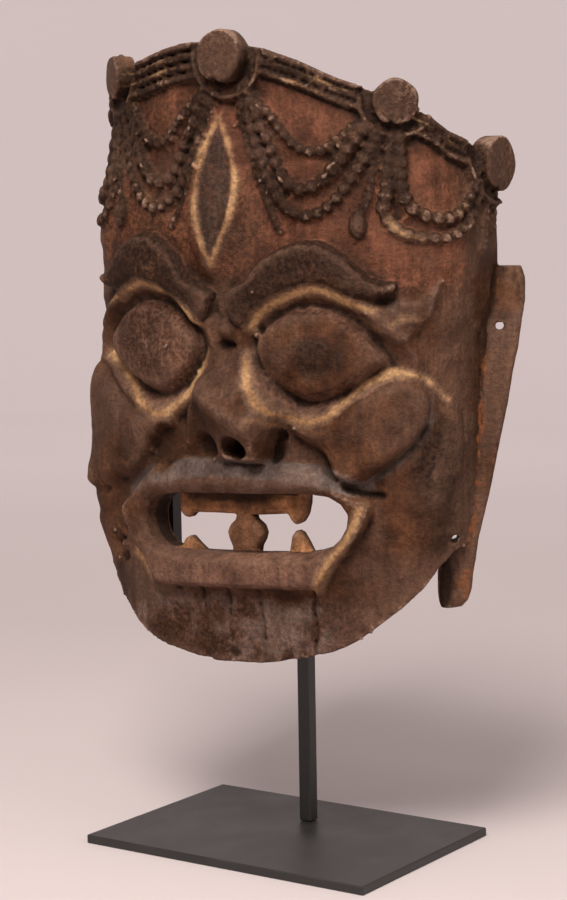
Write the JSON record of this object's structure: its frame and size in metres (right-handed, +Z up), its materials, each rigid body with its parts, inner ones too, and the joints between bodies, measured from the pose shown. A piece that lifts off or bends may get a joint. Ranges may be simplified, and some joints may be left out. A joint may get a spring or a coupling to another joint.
{
  "type": "carved guardian mask on stand",
  "caption": "Carved and painted wooden mask of a wrathful guardian with a crown of discs, resting on the arms of a square steel stand with a flat plate.",
  "frame": {"origin": "centre of the base plate's underside, where the stand meets its shelf", "axes": "+Z up along the post; -Y is the way the mask faces; +X along the long side of the plate, to the viewer's right"},
  "size_m": [0.2747, 0.1385, 0.4615],
  "materials": {
    "carved_wood": "old worn paint over dark wood",
    "black_steel_plate": "matte black",
    "black_steel_post": "matte black",
    "black_steel_yoke": "matte black"
  },
  "bodies": {
    "root": {"mask": "carved_wood", "stand_base": "black_steel_plate", "stand_post": "black_steel_post", "stand_yoke": "black_steel_yoke"}
  },
  "joints": []
}
